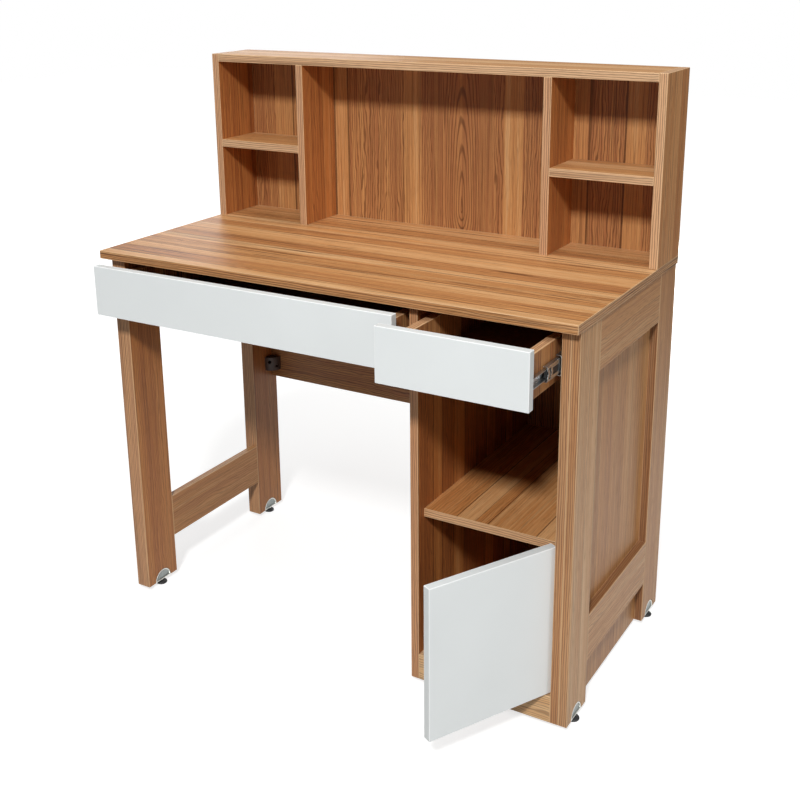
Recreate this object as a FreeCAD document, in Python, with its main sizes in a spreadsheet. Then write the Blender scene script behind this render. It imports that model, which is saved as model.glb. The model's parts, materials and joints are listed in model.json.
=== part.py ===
import FreeCAD, Part
import os
import re

# Student desk with a hutch, a two-drawer front and a pedestal with a hinged door.
# Millimetres and degrees. The origin is on the floor under the middle of the desktop.
# +X runs to the user's right, +Y to the back, +Z up. Every piece is modelled with the drawers and
# the door shut, and the open drawers and door are then set by each body's Placement.

SIZES = {
    # Desktop and the boards that everything is cut from
    "desk_width": 1000,
    "desk_depth": 500,
    "desk_height": 750,
    "board": 16,
    "back_board": 8,
    "edge_round": 0.8,
    # Leg frames: where they stand under the desktop, and their posts and rails
    "front_setback": 18,
    "back_setback": 4,
    "left_setback": 13,
    "right_setback": 2,
    "post_depth": 88,
    "foot_gap": 10,
    "rail_height": 92,
    "rail_lift": 95,
    "modesty_height": 390,
    # Hutch
    "hutch_height": 350,
    "hutch_depth": 125,
    "hutch_bay": 200,
    "hutch_shelf_rise": 152,
    # Pedestal
    "pedestal_width": 310,
    "plinth_height": 52,
    "cabinet_height": 272,
    # Drawers
    "front_height": 98,
    "front_top_gap": 4,
    "front_rest": 0.5,
    "front_gap": 3,
    "front_reveal": 6,
    "box_drop": 15,
    "box_height": 75,
    "box_back_gap": 62.5,
    "bottom_sheet": 4,
    "bottom_lift": 10,
    "groove_depth": 6,
    "groove_clear": 0.3,
    "left_drawer_open": 40,
    "right_drawer_open": 100,
    # Telescopic slides
    "slide_height": 35,
    "slide_width": 12.7,
    "slide_gauge": 1.2,
    "slide_inset": 2,
    "slide_lift": 32,
    "cage_wall": 2.6,
    "cage_gauge": 0.8,
    "cage_length": 140,
    "cage_end": 12,
    "run_clear": 0.3,
    # Cabinet door and its cup hinges
    "door_gap": 3,
    "door_open_angle": 62,
    "swing_clear": 0.6,
    "sweep_clear": 1.2,
    "hinge_inset": 60,
    "pin_radius": 1.5,
    "pin_bite": 4.6,
    "run_fit": 0.05,
    "boss_wall": 0.85,
    "cup_radius": 17.5,
    "cup_skin": 3,
    "cup_edge": 5,
    "cup_wall": 1,
    "cup_fit": 0.1,
    "slot_clear": 0.8,
    "flange_gauge": 1.2,
    "flange_margin": 3.5,
    "flange_end": 5,
    "arm_width": 8,
    "arm_gauge": 3,
    "plate_gauge": 2,
    "plate_length": 44,
    "plate_height": 36,
    "plate_margin": 6,
    "plate_screw_back": 26,
    # Screws and dowels, and the wood that a blind hole leaves of a board
    "screw_radius": 1.75,
    "head_radius": 3.5,
    "head_height": 2,
    "head_clear": 0.3,
    "hole_skin": 6,
    "fit_clear": 0.05,
    "dowel_radius": 4,
    "dowel_reach": 20,
    "dowel_pitch": 32,
    "dowel_inset": 60,
    "hutch_dowel_pitch": 64,
    # Corner blocks behind the legs
    "block_size": 26,
    "block_height": 32,
    "block_inset": 20,
    "block_pitch": 170,
    "block_floor": 6,
    "block_screw": 11,
    # Levelling feet
    "notch_skin": 4,
    "housing_wall": 5,
    "housing_clear": 0.2,
    "stem_radius": 3,
    "stem_reach": 14,
    "foot_travel": 5,
    "pad_radius": 12,
    "pad_height": 6,
    "pad_round": 1.5,
    # How far a cut runs past the face that it opens
    "overrun": 5,
}

# Places worked out from the sizes
PLACES = {
    "desk_left": "-desk_width / 2",
    "desk_right": "desk_width / 2",
    "desk_front": "-desk_depth / 2",
    "desk_back": "desk_depth / 2",
    "top_under": "desk_height - board",
    "frame_front": "desk_front + front_setback",
    "frame_back": "desk_back - back_setback",
    "front_post_back": "frame_front + post_depth",
    "rear_post_front": "frame_back - post_depth",
    "leg_outer": "desk_left + left_setback",
    "leg_inner": "leg_outer + 2 * board",
    "leg_layer": "leg_inner - board",
    "leg_middle": "(leg_outer + leg_inner) / 2",
    "rail_top": "rail_lift + rail_height",
    "low_rail_middle": "rail_lift + rail_height / 2",
    "top_rail_under": "top_under - rail_height",
    "top_rail_middle": "top_under - rail_height / 2",
    "modesty_front": "frame_back - board",
    "modesty_under": "top_under - modesty_height",
    "side_outer": "desk_right - right_setback",
    "side_layer": "side_outer - board",
    "side_inner": "side_layer - board",
    "panel_left": "side_outer - pedestal_width",
    "panel_right": "panel_left + board",
    "plinth_top": "foot_gap + plinth_height",
    "plinth_middle": "foot_gap + plinth_height / 2",
    "plinth_back": "frame_front + board",
    "shelf_under": "plinth_top + cabinet_height",
    "shelf_top": "shelf_under + board",
    "shelf_front": "pin_y + door_sweep + sweep_clear",
    "pedestal_back_front": "frame_back - back_board",
    "hutch_left": "desk_left + board",
    "hutch_right": "desk_right - board",
    "hutch_front": "desk_back - hutch_depth",
    "hutch_back_front": "desk_back - back_board",
    "hutch_middle": "(hutch_front + hutch_back_front) / 2",
    "hutch_top": "desk_height + hutch_height",
    "hutch_roof": "hutch_top - board",
    "left_bay_end": "hutch_left + hutch_bay",
    "right_bay_start": "hutch_right - hutch_bay",
    "hutch_shelf_under": "desk_height + hutch_shelf_rise",
    "hutch_shelf_middle": "hutch_shelf_under + board / 2",
    "front_top": "top_under - front_top_gap",
    "front_under": "front_top - front_height",
    "front_back": "frame_front - front_rest",
    "front_face": "front_back - board",
    "fronts_meet": "panel_left",
    "box_top": "front_top - box_drop",
    "box_under": "box_top - box_height",
    "box_end": "modesty_front - box_back_gap",
    "sheet_under": "box_under + bottom_lift",
    "sheet_top": "sheet_under + bottom_sheet",
    "slide_start": "frame_front + slide_inset",
    "slide_end": "box_end",
    "slide_z": "box_under + slide_lift",
    "race": "cage_wall + 2 * run_clear",
    "cabinet_half": "slide_height / 2",
    "outer_cage_half": "cabinet_half - slide_gauge - run_clear",
    "middle_half": "cabinet_half - slide_gauge - race",
    "inner_cage_half": "middle_half - slide_gauge - run_clear",
    "runner_half": "middle_half - slide_gauge - race",
    "outer_cage_web": "slide_gauge + run_clear",
    "middle_web": "outer_cage_web + cage_gauge + run_clear",
    "inner_cage_web": "middle_web + slide_gauge + run_clear",
    "runner_start": "inner_cage_web + cage_gauge + run_clear",
    "slide_lip": "slide_width - 2 * slide_gauge",
    "door_left": "panel_right + door_gap",
    "door_right": "side_inner - hinge_gap",
    "door_back": "frame_front + board",
    "door_under": "plinth_top + door_gap",
    "door_top": "shelf_top - door_gap",
    "boss_radius": "pin_radius + run_fit + boss_wall",
    "pin_inset": "cup_edge + cup_wall + slot_clear + boss_radius",
    "pin_depth": "cup_skin + cup_wall + slot_clear + boss_radius",
    "pin_length": "arm_width + slot_clear + 2 * pin_bite",
    "hinge_gap": "sqrt(pin_inset^2 + pin_depth^2) - pin_inset + swing_clear",
    "door_sweep": "sqrt(pin_inset^2 + (board - pin_depth)^2)",
    "pin_x": "door_right - pin_inset",
    "pin_y": "frame_front + pin_depth",
    "cup_x": "door_right - cup_edge - cup_radius",
    "cup_floor": "frame_front + cup_skin",
    "cup_depth": "board - cup_skin",
    "flange_back": "door_back + flange_gauge",
    "flange_screw": "cup_radius + flange_margin",
    "flange_length": "2 * (flange_screw + flange_end)",
    "plate_face": "side_inner - plate_gauge",
    "plate_screw": "plate_height / 2 - plate_margin",
    "plate_front": "pin_y + door_sweep + sweep_clear",
    "arm_left": "pin_x - door_sweep - sweep_clear - arm_gauge",
    "low_hinge": "door_under + hinge_inset",
    "high_hinge": "door_top - hinge_inset",
    "low_block": "modesty_under + block_inset",
    "high_block": "low_block + block_pitch",
    "front_foot": "frame_front + post_depth / 2",
    "rear_foot": "frame_back - post_depth / 2",
    "notch_depth": "board - notch_skin",
    "thread_depth": "stem_reach + foot_travel",
    "notch_radius": "thread_depth + housing_wall",
    "bite": "board - hole_skin",
}

# How a round piece that is drawn along Z is turned to lie along another axis
TURNS = {
    "x": FreeCAD.Rotation(FreeCAD.Vector(1, 1, 1), 120),
    "y": FreeCAD.Rotation(FreeCAD.Vector(1, 0, 0), -90),
    "z": FreeCAD.Rotation(),
}
WORD = re.compile(r"[a-z][a-z_]*")

doc = FreeCAD.newDocument("StudentDesk")
sheet = doc.addObject("Spreadsheet::Sheet", "Sizes")
for row, (name, value) in enumerate(SIZES.items(), start=1):
    sheet.set(f"A{row}", name)
    sheet.set(f"B{row}", str(value))
    sheet.setAlias(f"B{row}", name)
doc.recompute()
nodes = []


def spelled(text):
    """Writes an expression out in cells of the sheet, each named place by what it stands for."""

    def cell(match):
        word = match.group(0)
        if word in PLACES:
            return f"({spelled(PLACES[word])})"
        return f"Sizes.{word}" if word in SIZES else word

    return WORD.sub(cell, text)


def tie(thing, path, text):
    """Binds one property to an expression in named sizes and places."""
    thing.setExpression(path, spelled(text))


def tie_place(thing, place):
    """Binds the place of a thing to three expressions."""
    for letter, text in zip("xyz", place):
        tie(thing, f"Placement.Base.{letter}", text)


def new_body(label):
    """Starts one physical piece."""
    return doc.addObject("PartDesign::Body", label)


def keep(piece):
    """Lists a piece, or a group of like pieces, as a node of the desk."""
    nodes.append(piece)
    return piece


def block(body, x, y, z, kind="Additive"):
    """Adds or cuts a box that reaches from one named place to another on each axis."""
    box = body.newObject(f"PartDesign::{kind}Box", f"{body.Name}_block")
    for (low, high), side in zip((x, y, z), ("Length", "Width", "Height")):
        tie(box, side, f"({high}) - ({low})")
    tie_place(box, (low for low, high in (x, y, z)))
    return box


def rod(body, axis, start, radius, length, kind="Additive", sweep=360):
    """Adds or cuts a cylinder that starts at a point and runs along an axis."""
    round_piece = body.newObject(f"PartDesign::{kind}Cylinder", f"{body.Name}_rod")
    round_piece.Placement = FreeCAD.Placement(FreeCAD.Vector(), TURNS[axis])
    round_piece.Angle = sweep
    tie(round_piece, "Radius", radius)
    tie(round_piece, "Height", length)
    tie_place(round_piece, start)
    return round_piece


def board(label, x, y, z):
    """A cut board with its edge band's small round on every arris."""
    body = new_body(label)
    blank = block(body, x, y, z)
    doc.recompute()
    arris = body.newObject("PartDesign::Fillet", f"{label}_arris")
    arris.Base = (blank, ["Edge1"])
    arris.UseAllEdges = True
    tie(arris, "Radius", "edge_round")
    return keep(body)


def group(label, bodies):
    """Like pieces that belong to one body share a node as separate solids."""
    together = doc.addObject("Part::Compound", label)
    together.Links = bodies
    return keep(together)


def about(middle, size):
    """The stretch of a given size centred on a place."""
    return (f"{middle} - ({size}) / 2", f"{middle} + ({size}) / 2")


def along(axis, heading, seat, length):
    """Start point of a rod of a given length that leaves its seat towards a heading, +1 or -1."""
    start = list(seat)
    if heading < 0:
        spot = "xyz".index(axis)
        start[spot] = f"{seat[spot]} - ({length})"
    return start


def screw(label, axis, heading, seat, shank, hosts):
    """A screw: its shank runs from under the head, the seat, towards the heading, through its hosts."""
    body = new_body(label)
    start = along(axis, heading, seat, shank)
    rod(body, axis, start, "screw_radius", shank)
    rod(body, axis, along(axis, -heading, seat, "head_height"), "head_radius", "head_height")
    for host in hosts:
        rod(host, axis, start, "screw_radius + fit_clear", shank, "Subtractive")
    return body


def slide_out(body, travel):
    """Pulls a drawer piece towards the user."""
    tie(body, "Placement.Base.y", f"-({travel})")


def swing(body):
    """Turns a door piece about the hinge pins."""
    cosine = "cos(door_open_angle * 1 deg)"
    sine = "sin(door_open_angle * 1 deg)"
    tie(body, "Placement.Rotation.Angle", "door_open_angle")
    tie(body, "Placement.Base.x", f"pin_x - (pin_x * {cosine} - pin_y * {sine})")
    tie(body, "Placement.Base.y", f"pin_y - (pin_x * {sine} + pin_y * {cosine})")


frame_y = ("frame_front", "frame_back")
front_post_y = ("frame_front", "front_post_back")
rear_post_y = ("rear_post_front", "frame_back")
between_posts_y = ("front_post_back", "rear_post_front")
frame_z = ("foot_gap", "top_under")
low_rail_z = ("rail_lift", "rail_top")
top_rail_z = ("top_rail_under", "top_under")

# Desktop
desk_x = ("desk_left", "desk_right")
desk_y = ("desk_front", "desk_back")
desktop = board("desktop", desk_x, desk_y, ("top_under", "desk_height"))

# Hutch: the sides stand on the desktop, the top and the back lie between them
hutch_x = ("hutch_left", "hutch_right")
hutch_y = ("hutch_front", "desk_back")
hutch_inner_y = ("hutch_front", "hutch_back_front")
hutch_side_z = ("desk_height", "hutch_top")
hutch_upright_z = ("desk_height", "hutch_roof")
hutch_shelf_z = ("hutch_shelf_under", "hutch_shelf_under + board")
left_divider_x = ("left_bay_end", "left_bay_end + board")
right_divider_x = ("right_bay_start - board", "right_bay_start")
hutch_side_left = board("hutch_side_left", ("desk_left", "hutch_left"), hutch_y, hutch_side_z)
hutch_side_right = board("hutch_side_right", ("hutch_right", "desk_right"), hutch_y, hutch_side_z)
hutch_top = board("hutch_top", hutch_x, hutch_y, ("hutch_roof", "hutch_top"))
board("hutch_back", hutch_x, ("hutch_back_front", "desk_back"), hutch_upright_z)
hutch_divider_left = board("hutch_divider_left", left_divider_x, hutch_inner_y, hutch_upright_z)
hutch_divider_right = board("hutch_divider_right", right_divider_x, hutch_inner_y, hutch_upright_z)
left_bay_x = ("hutch_left", "left_bay_end")
right_bay_x = ("right_bay_start", "hutch_right")
hutch_shelf_left = board("hutch_shelf_left", left_bay_x, hutch_inner_y, hutch_shelf_z)
hutch_shelf_right = board("hutch_shelf_right", right_bay_x, hutch_inner_y, hutch_shelf_z)

# Left leg frame: two legs of doubled board, a top rail that carries the drawer slide and a stretcher
leg_x = ("leg_outer", "leg_inner")
leg_layer_x = ("leg_layer", "leg_inner")
leg_front_left = board("leg_front_left", leg_x, front_post_y, frame_z)
leg_rear_left = board("leg_rear_left", leg_x, rear_post_y, frame_z)
left_top_rail = board("left_top_rail", leg_layer_x, between_posts_y, top_rail_z)
left_stretcher = board("left_stretcher", leg_layer_x, between_posts_y, low_rail_z)

# Pedestal: two panels, with posts and rails applied to the outside of the right one
pedestal_panel_left = board("pedestal_panel_left", ("panel_left", "panel_right"), frame_y, frame_z)
pedestal_panel_right = board("pedestal_panel_right", ("side_inner", "side_layer"), frame_y, frame_z)
outer_layer_x = ("side_layer", "side_outer")
right_post_front = board("right_post_front", outer_layer_x, front_post_y, frame_z)
right_post_rear = board("right_post_rear", outer_layer_x, rear_post_y, frame_z)
right_top_rail = board("right_top_rail", outer_layer_x, between_posts_y, top_rail_z)
right_bottom_rail = board("right_bottom_rail", outer_layer_x, between_posts_y, low_rail_z)
pedestal_x = ("panel_right", "side_inner")
pedestal_bottom_y = ("plinth_back", "pedestal_back_front")
pedestal_shelf_y = ("shelf_front", "pedestal_back_front")
plinth = board("plinth", pedestal_x, ("frame_front", "plinth_back"), ("foot_gap", "plinth_top"))
pedestal_bottom_z = ("plinth_top - board", "plinth_top")
pedestal_bottom = board("pedestal_bottom", pedestal_x, pedestal_bottom_y, pedestal_bottom_z)
pedestal_shelf = board("pedestal_shelf", pedestal_x, pedestal_shelf_y, ("shelf_under", "shelf_top"))
pedestal_back_z = ("plinth_top - board", "top_under")
board("pedestal_back", pedestal_x, ("pedestal_back_front", "frame_back"), pedestal_back_z)

# Modesty panel across the back of the kneehole
modesty_x = ("leg_inner", "panel_left")
modesty_z = ("modesty_under", "top_under")
modesty_panel = board("modesty_panel", modesty_x, ("modesty_front", "frame_back"), modesty_z)

dowels = []


def inset(stretch):
    """The two places where dowels sit near the ends of a stretch."""
    low, high = stretch
    return (f"{low} + dowel_inset", f"{high} - dowel_inset")


def peg(face_board, end_board, axis, heading, spots):
    """Dowels from spots on one board's face into the end of another, which lies towards the heading."""
    before = "bite" if heading > 0 else "dowel_reach"
    for spot in spots:
        start = along(axis, -1, spot, before)
        pin = new_body("dowel")
        rod(pin, axis, start, "dowel_radius - fit_clear", "bite + dowel_reach")
        for host in (face_board, end_board):
            rod(host, axis, start, "dowel_radius", "bite + dowel_reach", "Subtractive")
        dowels.append(pin)


# The desktop on the legs and panels below it
for support, middle, places in (
    (leg_front_left, "leg_middle", about("front_foot", "dowel_pitch")),
    (leg_rear_left, "leg_middle", about("rear_foot", "dowel_pitch")),
    (pedestal_panel_left, "panel_left + board / 2", inset(frame_y)),
    (pedestal_panel_right, "side_inner + board / 2", inset(frame_y)),
):
    peg(desktop, support, "z", -1, [(middle, place, "top_under") for place in places])

# The hutch's uprights on the desktop, and its dividers under its top
hutch_peg_y = about("hutch_middle", "hutch_dowel_pitch")
for upright, middle in (
    (hutch_side_left, "hutch_left - board / 2"),
    (hutch_side_right, "hutch_right + board / 2"),
    (hutch_divider_left, "left_bay_end + board / 2"),
    (hutch_divider_right, "right_bay_start - board / 2"),
):
    peg(desktop, upright, "z", 1, [(middle, place, "desk_height") for place in hutch_peg_y])
    if upright in (hutch_divider_left, hutch_divider_right):
        peg(hutch_top, upright, "z", -1, [(middle, place, "hutch_roof") for place in hutch_peg_y])

# Boards that lie between an upright on the left and one on the right
hutch_ends = ((hutch_side_left, "hutch_left"), (hutch_side_right, "hutch_right"))
left_bay_ends = ((hutch_side_left, "hutch_left"), (hutch_divider_left, "left_bay_end"))
right_bay_ends = ((hutch_divider_right, "right_bay_start"), (hutch_side_right, "hutch_right"))
pedestal_ends = ((pedestal_panel_left, "panel_right"), (pedestal_panel_right, "side_inner"))
modesty_ends = ((leg_rear_left, "leg_inner"), (pedestal_panel_left, "panel_left"))
hutch_shelf_pegs = [(place, "hutch_shelf_middle") for place in hutch_peg_y]
for lying, ends, pegs in (
    (hutch_top, hutch_ends, [(place, "hutch_roof + board / 2") for place in hutch_peg_y]),
    (hutch_shelf_left, left_bay_ends, hutch_shelf_pegs),
    (hutch_shelf_right, right_bay_ends, hutch_shelf_pegs),
    (plinth, pedestal_ends, [("frame_front + board / 2", z) for z in about("plinth_middle", "dowel_pitch")]),
    (pedestal_bottom, pedestal_ends, [(y, "plinth_top - board / 2") for y in inset(pedestal_bottom_y)]),
    (pedestal_shelf, pedestal_ends, [(y, "shelf_under + board / 2") for y in inset(pedestal_shelf_y)]),
    (modesty_panel, modesty_ends, [("modesty_front + board / 2", z) for z in inset(modesty_z)]),
):
    for (upright, face), heading in zip(ends, (1, -1)):
        peg(upright, lying, "x", heading, [(face, y, z) for y, z in pegs])

# Rails between a front and a rear post
left_posts = (leg_front_left, leg_rear_left)
right_posts = (right_post_front, right_post_rear)
for rail, posts, middle, level in (
    (left_top_rail, left_posts, "leg_layer + board / 2", "top_rail_middle"),
    (left_stretcher, left_posts, "leg_layer + board / 2", "low_rail_middle"),
    (right_top_rail, right_posts, "side_layer + board / 2", "top_rail_middle"),
    (right_bottom_rail, right_posts, "side_layer + board / 2", "low_rail_middle"),
):
    for post, face, heading in zip(posts, between_posts_y, (1, -1)):
        peg(post, rail, "y", heading, [(middle, face, z) for z in about(level, "dowel_pitch")])
group("dowels", dowels)


def corner_block(label, corner_x, side, height, neighbour):
    """A quarter-round block in the corner of the modesty panel, with a screw into each board."""
    body = new_body(label)
    quarter = rod(body, "z", (corner_x, "modesty_front", height), "block_size", "block_height", sweep=90)
    first_quarter_turn = -90 if side > 0 else 180
    quarter.Placement.Rotation = FreeCAD.Rotation(FreeCAD.Vector(0, 0, 1), first_quarter_turn)
    sign = "+" if side > 0 else "-"
    into_board = (
        f"{corner_x} {sign} block_floor",
        "modesty_front - block_screw",
        f"{height} + block_height / 3",
    )
    into_modesty = (
        f"{corner_x} {sign} block_screw",
        "modesty_front - block_floor",
        f"{height} + block_height * 2 / 3",
    )
    screws = []
    for name, axis, heading, seat, host in (
        ("side", "x", -side, into_board, neighbour),
        ("back", "y", 1, into_modesty, modesty_panel),
    ):
        hosts = (body, host)
        screws.append(screw(f"{label}_{name}_screw", axis, heading, seat, "block_floor + bite", hosts))
        head_room = along(axis, -heading, seat, "block_size")
        rod(body, axis, head_room, "head_radius + head_clear", "block_size", "Subtractive")
    return body, screws


blocks = []
block_screws = []
for end, corner_x, side, neighbour in (
    ("left", "leg_inner", 1, leg_rear_left),
    ("right", "panel_left", -1, pedestal_panel_left),
):
    for level in ("low", "high"):
        made, screws = corner_block(f"block_{end}_{level}", corner_x, side, f"{level}_block", neighbour)
        blocks.append(made)
        block_screws += screws
group("corner_blocks", blocks)
group("corner_block_screws", block_screws)


def drawer(side, front_x, carcass_left, carcass_right, travel):
    """A drawer box behind an overlay front, with its bottom let into grooves in the sides."""
    outer_left = f"{carcass_left} + slide_width"
    outer_right = f"{carcass_right} - slide_width"
    inner_left = f"{outer_left} + board"
    inner_right = f"{outer_right} - board"
    depth = ("front_back", "box_end")
    height = ("box_under", "box_top")
    groove = ("sheet_under", "sheet_top")
    front_y = ("front_face", "front_back")
    front = board(f"{side}_drawer_front", front_x, front_y, ("front_under", "front_top"))
    left = board(f"{side}_drawer_side_left", (outer_left, inner_left), depth, height)
    right = board(f"{side}_drawer_side_right", (inner_right, outer_right), depth, height)
    back = board(f"{side}_drawer_back", (inner_left, inner_right), ("box_end - board", "box_end"), height)
    groove_run = ("front_back - overrun", "box_end - board")
    block(left, (f"{inner_left} - groove_depth", inner_left), groove_run, groove, "Subtractive")
    block(right, (inner_right, f"{inner_right} + groove_depth"), groove_run, groove, "Subtractive")
    bottom = keep(new_body(f"{side}_drawer_bottom"))
    tongue = "groove_depth - groove_clear"
    sheet_width = (f"{inner_left} - ({tongue})", f"{inner_right} + {tongue}")
    block(bottom, sheet_width, ("front_back", "box_end - board"), groove)
    for piece in (front, left, right, back, bottom):
        slide_out(piece, travel)


left_front_x = ("leg_outer + front_reveal", "fronts_meet - front_gap / 2")
right_front_x = ("fronts_meet + front_gap / 2", "side_inner - front_gap")
drawer("left", left_front_x, "leg_inner", "panel_left", "left_drawer_open")
drawer("right", right_front_x, "panel_right", "side_inner", "right_drawer_open")


def from_face(face, side, near, far):
    """A stretch measured from a carcass face into the slide's gap, towards +X or -X."""
    if side > 0:
        return (f"{face} + {near}", f"{face} + {far}")
    return (f"{face} - ({far})", f"{face} - ({near})")


def channel(label, face, side, web, flange, half, wall, run):
    """A C-section strip of a slide: an upright web with a flange along its top and bottom."""
    body = new_body(label)
    flange_x = from_face(face, side, *flange)
    block(body, from_face(face, side, *web), run, (f"slide_z - ({half})", f"slide_z + {half}"))
    block(body, flange_x, run, (f"slide_z + {half} - {wall}", f"slide_z + {half}"))
    block(body, flange_x, run, (f"slide_z - ({half})", f"slide_z - ({half}) + {wall}"))
    return body


def slide_pair(side, faces, travel):
    """The two telescopic slides of a drawer: middle and drawer members, ball retainers, cabinet members."""
    whole = ("slide_start", "slide_end")
    outer_run = ("slide_end - cage_end - cage_length", "slide_end - cage_end")
    inner_run = ("slide_start + cage_end", "slide_start + cage_end + cage_length")
    cabinet, middle, runner, cages = [], [], [], []
    for end, (face, turn) in zip(("left", "right"), faces):
        name = f"{side}_slide_{end}"
        web = ("0", "slide_gauge")
        cabinet.append(channel(f"{name}_cabinet", face, turn, web, ("0", "slide_lip"),
                               "cabinet_half", "slide_gauge", whole))
        web = ("outer_cage_web", "outer_cage_web + cage_gauge")
        cages.append(channel(f"{name}_outer_cage", face, turn, web, ("outer_cage_web", "slide_lip"),
                             "outer_cage_half", "cage_wall", outer_run))
        web = ("middle_web", "middle_web + slide_gauge")
        middle.append(channel(f"{name}_middle", face, turn, web, ("middle_web", "slide_lip"),
                              "middle_half", "slide_gauge", whole))
        web = ("inner_cage_web", "inner_cage_web + cage_gauge")
        cages.append(channel(f"{name}_inner_cage", face, turn, web, ("inner_cage_web", "slide_lip"),
                             "inner_cage_half", "cage_wall", inner_run))
        web = ("slide_width - slide_gauge", "slide_width")
        runner.append(channel(f"{name}_runner", face, turn, web, ("runner_start", "slide_width"),
                              "runner_half", "slide_gauge", whole))
    for piece in middle + cages:
        slide_out(piece, f"{travel} / 2")
    for piece in runner:
        slide_out(piece, travel)
    group(f"{side}_slide_middle_members", middle)
    group(f"{side}_slide_drawer_members", runner)
    group(f"{side}_slide_ball_retainers", cages)
    return cabinet


cabinet_members = slide_pair("left", (("leg_inner", 1), ("panel_left", -1)), "left_drawer_open")
cabinet_members += slide_pair("right", (("panel_right", 1), ("side_inner", -1)), "right_drawer_open")
group("slide_cabinet_members", cabinet_members)

# Cabinet door, set in between the pedestal's left panel and the right post
door = board("door", ("door_left", "door_right"), ("frame_front", "door_back"), ("door_under", "door_top"))


def hinge(level):
    """A cup hinge: a cup let into the door, a pin across it, and an arm on a plate on the carcass."""
    z = f"{level}_hinge"
    reach = "cup_depth + overrun"
    rod(door, "y", ("cup_x", "cup_floor", z), "cup_radius + cup_fit", reach, "Subtractive")
    cup = new_body(f"{z}_cup")
    rod(cup, "y", ("cup_x", "cup_floor", z), "cup_radius", "cup_depth")
    flange_z = about(z, "flange_length")
    block(cup, ("cup_x - cup_radius", "cup_x + cup_radius"), ("door_back", "flange_back"), flange_z)
    slot_x = ("arm_left - slot_clear", "pin_x + boss_radius + slot_clear")
    slot_y = ("cup_floor + cup_wall", "flange_back + overrun")
    block(cup, slot_x, slot_y, about(z, "arm_width + slot_clear"), "Subtractive")
    pin_start = ("pin_x", "pin_y", f"{z} - pin_length / 2")
    rod(cup, "z", pin_start, "pin_radius", "pin_length", "Subtractive")
    pin = new_body(f"{z}_pin")
    rod(pin, "z", pin_start, "pin_radius", "pin_length")
    plate = new_body(f"{z}_plate")
    plate_y = ("plate_front", "plate_front + plate_length")
    block(plate, ("plate_face", "side_inner"), plate_y, about(z, "plate_height"))
    arm = new_body(f"{z}_arm")
    arm_z = about(z, "arm_width")
    bridge_y = ("plate_front", "plate_front + arm_gauge")
    boss_start = ("pin_x", "pin_y", f"{z} - arm_width / 2")
    block(arm, ("arm_left", "pin_x"), about("pin_y", "arm_gauge"), arm_z)
    rod(arm, "z", boss_start, "boss_radius", "arm_width")
    riser_y = ("pin_y - arm_gauge / 2", "plate_front + arm_gauge")
    block(arm, ("arm_left", "arm_left + arm_gauge"), riser_y, arm_z)
    block(arm, ("arm_left", "plate_face"), bridge_y, arm_z)
    block(arm, ("plate_face - arm_gauge", "plate_face"), plate_y, arm_z)
    rod(arm, "z", boss_start, "pin_radius + run_fit", "arm_width", "Subtractive")
    cup_screws = []
    plate_screws = []
    for name, sign in (("upper", "+"), ("lower", "-")):
        seat = ("cup_x", "flange_back", f"{z} {sign} flange_screw")
        hosts = (cup, door)
        cup_screws.append(screw(f"{z}_cup_{name}_screw", "y", -1, seat, "flange_gauge + bite", hosts))
        seat = ("plate_face", "plate_front + plate_screw_back", f"{z} {sign} plate_screw")
        hosts = (plate, pedestal_panel_right)
        plate_screws.append(screw(f"{z}_plate_{name}_screw", "x", 1, seat, "plate_gauge + bite", hosts))
    for piece in [cup, pin] + cup_screws:
        swing(piece)
    return cup, pin, plate, arm, cup_screws, plate_screws


cups, pins, plates, arms, cup_screws, plate_screws = zip(*(hinge(level) for level in ("low", "high")))
swing(door)
group("hinge_cups", list(cups))
group("hinge_pins", list(pins))
group("hinge_plates", list(plates))
group("hinge_arms", list(arms))
group("hinge_cup_screws", sum(cup_screws, []))
group("hinge_plate_screws", sum(plate_screws, []))


def levelling_foot(corner, post, face, middle):
    """A half-disc housing let into a post's face, with a threaded stem and a round pad under it."""
    back = f"{face} - notch_depth"
    stem_x = f"{face} - notch_depth / 2"
    edge = (back, middle, "foot_gap")
    rod(post, "x", edge, "notch_radius", "notch_depth + overrun", "Subtractive")
    housing = new_body(f"foot_housing_{corner}")
    rod(housing, "x", edge, "notch_radius - housing_clear", "notch_depth", sweep=180)
    thread = (stem_x, middle, "foot_gap - overrun")
    rod(housing, "z", thread, "stem_radius + run_fit", "thread_depth + overrun", "Subtractive")
    stem = keep(new_body(f"foot_stem_{corner}"))
    rod(stem, "z", (stem_x, middle, "pad_height"), "stem_radius", "foot_gap + stem_reach - pad_height")
    pad = keep(new_body(f"foot_pad_{corner}"))
    disc = rod(pad, "z", (stem_x, middle, "0"), "pad_radius", "pad_height")
    doc.recompute()
    rims = [i for i, edge in enumerate(disc.Shape.Edges, start=1) if isinstance(edge.Curve, Part.Circle)]
    soft = pad.newObject("PartDesign::Fillet", f"{pad.Name}_rim")
    soft.Base = (disc, [f"Edge{i}" for i in rims])
    tie(soft, "Radius", "pad_round")
    return housing


housings = [
    levelling_foot("front_left", leg_front_left, "leg_inner", "front_foot"),
    levelling_foot("rear_left", leg_rear_left, "leg_inner", "rear_foot"),
    levelling_foot("front_right", right_post_front, "side_outer", "front_foot"),
    levelling_foot("rear_right", right_post_rear, "side_outer", "rear_foot"),
]
group("foot_housings", housings)

doc.recompute()

# Nothing is written unless every object and every node is sound
failed = [thing.Name for thing in doc.Objects if {"Invalid", "Error"} & set(thing.State)]
failed += [node.Label for node in nodes if node.Shape.isNull() or not node.Shape.isValid()]
if failed:
    raise RuntimeError(f"failed: {failed}")
os.makedirs("parts", exist_ok=True)
for node in nodes:
    node.Shape.exportStep(f"parts/{node.Label}.step")
    print(node.Label, len(node.Shape.Solids), round(node.Shape.Volume))
print(len(nodes), "nodes")
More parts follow.
